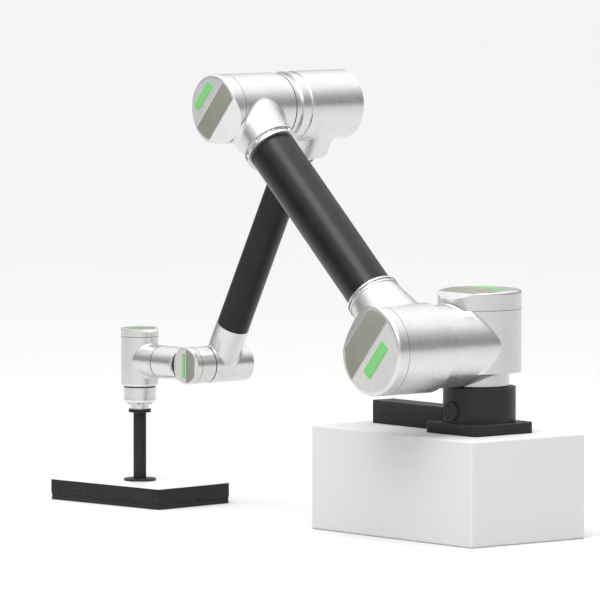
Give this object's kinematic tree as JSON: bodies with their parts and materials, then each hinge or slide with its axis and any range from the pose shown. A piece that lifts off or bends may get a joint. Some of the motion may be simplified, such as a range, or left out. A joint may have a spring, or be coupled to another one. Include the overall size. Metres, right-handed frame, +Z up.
{
  "type": "collaborative robot arm",
  "caption": "Articulated collaborative robot arm with round jointed housings, black link tubes and a flat vacuum gripper, bolted down by a square base plate.",
  "frame": {"origin": "centre of the square base plate's underside, on the axis of joint 1", "axes": "+Z up along joint 1, +X the way the arm reaches in the stored pose, +Y the side that the round joint caps face"},
  "size_m": [1.3574, 0.3972, 0.9814],
  "materials": {
    "bar_green": "plain green bar, no lettering",
    "base_black": "cast aluminium, satin black coat",
    "black_plastic": "moulded black plastic",
    "drive_steel": "ground steel",
    "flange_alu": "turned aluminium",
    "foam_black": "closed-cell foam rubber",
    "housing_silver": "cast aluminium, satin silver-white coat",
    "motor_steel": "laminated steel with windings",
    "plate_alu": "clear anodised sheet",
    "screw_steel": "zinc-plated steel",
    "seal_rubber": "matt black rubber",
    "tool_black": "black anodised aluminium",
    "tube_black": "extruded aluminium, satin black"
  },
  "bodies": {
    "base": {"base_column": "base_black", "base_plate": "base_black", "base_port_cover": "black_plastic", "base_screws": "screw_steel", "cable_box": "base_black", "cable_box_lid": "base_black", "cable_glands": "black_plastic", "j1_output_flange": "drive_steel"},
    "shoulder": {"j1_motor": "motor_steel", "j1_reducer": "drive_steel", "j1_seal": "seal_rubber", "j2_output_flange": "drive_steel", "shoulder_cap": "housing_silver", "shoulder_cap_bar": "bar_green", "shoulder_housing": "housing_silver"},
    "upper_arm": {"elbow_cap": "housing_silver", "elbow_cap_bar": "bar_green", "j2_motor": "motor_steel", "j2_reducer": "drive_steel", "j2_seal": "seal_rubber", "j3_motor": "motor_steel", "j3_reducer": "drive_steel", "upper_arm_cap": "housing_silver", "upper_arm_cap_bar": "bar_green", "upper_arm_elbow_housing": "housing_silver", "upper_arm_lower_collar": "housing_silver", "upper_arm_shoulder_housing": "housing_silver", "upper_arm_tube": "tube_black", "upper_arm_upper_collar": "housing_silver"},
    "forearm": {"forearm_collar": "housing_silver", "forearm_elbow_cover": "housing_silver", "forearm_elbow_housing": "housing_silver", "forearm_tube": "tube_black", "forearm_wrist_cover": "housing_silver", "forearm_wrist_housing": "housing_silver", "j3_output_flange": "drive_steel", "j3_seal": "seal_rubber", "j4_motor": "motor_steel", "j4_reducer": "drive_steel"},
    "wrist_1": {"j4_seal": "seal_rubber", "j5_motor": "motor_steel", "j5_reducer": "drive_steel", "wrist_1_cap": "housing_silver", "wrist_1_cap_bar": "bar_green", "wrist_1_housing": "housing_silver"},
    "wrist_2": {"j5_seal": "seal_rubber", "j6_motor": "motor_steel", "j6_reducer": "drive_steel", "wrist_2_cap": "housing_silver", "wrist_2_cap_bar": "bar_green", "wrist_2_housing": "housing_silver"},
    "wrist_3": {"adapter_screws": "screw_steel", "gripper_box": "tool_black", "gripper_foam": "foam_black", "gripper_plate": "plate_alu", "gripper_pole": "tool_black", "j6_seal": "seal_rubber", "tool_adapter": "flange_alu", "tool_flange": "flange_alu"}
  },
  "joints": [
    {"name": "j1_base", "type": "hinge", "parent": "base", "child": "shoulder", "pos_m": [0, 0, 0], "axis": [0, 0, 1], "range_deg": [-180, 180]},
    {"name": "j2_shoulder", "type": "hinge", "parent": "shoulder", "child": "upper_arm", "pos_m": [0, 0.198, 0.19], "axis": [0, 1, 0], "range_deg": [-140, 45]},
    {"name": "j3_elbow", "type": "hinge", "parent": "upper_arm", "child": "forearm", "pos_m": [0.55508, 0.198, 0.67937], "axis": [0, 1, 0], "range_deg": [-240, 40]},
    {"name": "j4_wrist_1", "type": "hinge", "parent": "forearm", "child": "wrist_1", "pos_m": [0.87985, 0.0735, 0.09106], "axis": [0, 1, 0], "range_deg": [-60, 135]},
    {"name": "j5_wrist_2", "type": "hinge", "parent": "wrist_1", "child": "wrist_2", "pos_m": [0.87985, 0.0735, 0.09106], "axis": [1, 0, 0], "range_deg": [-120, 120]},
    {"name": "j6_wrist_3", "type": "hinge", "parent": "wrist_2", "child": "wrist_3", "pos_m": [1.07685, 0.0735, 0.09106], "axis": [0, 0, 1], "range_deg": [-270, 270]}
  ]
}
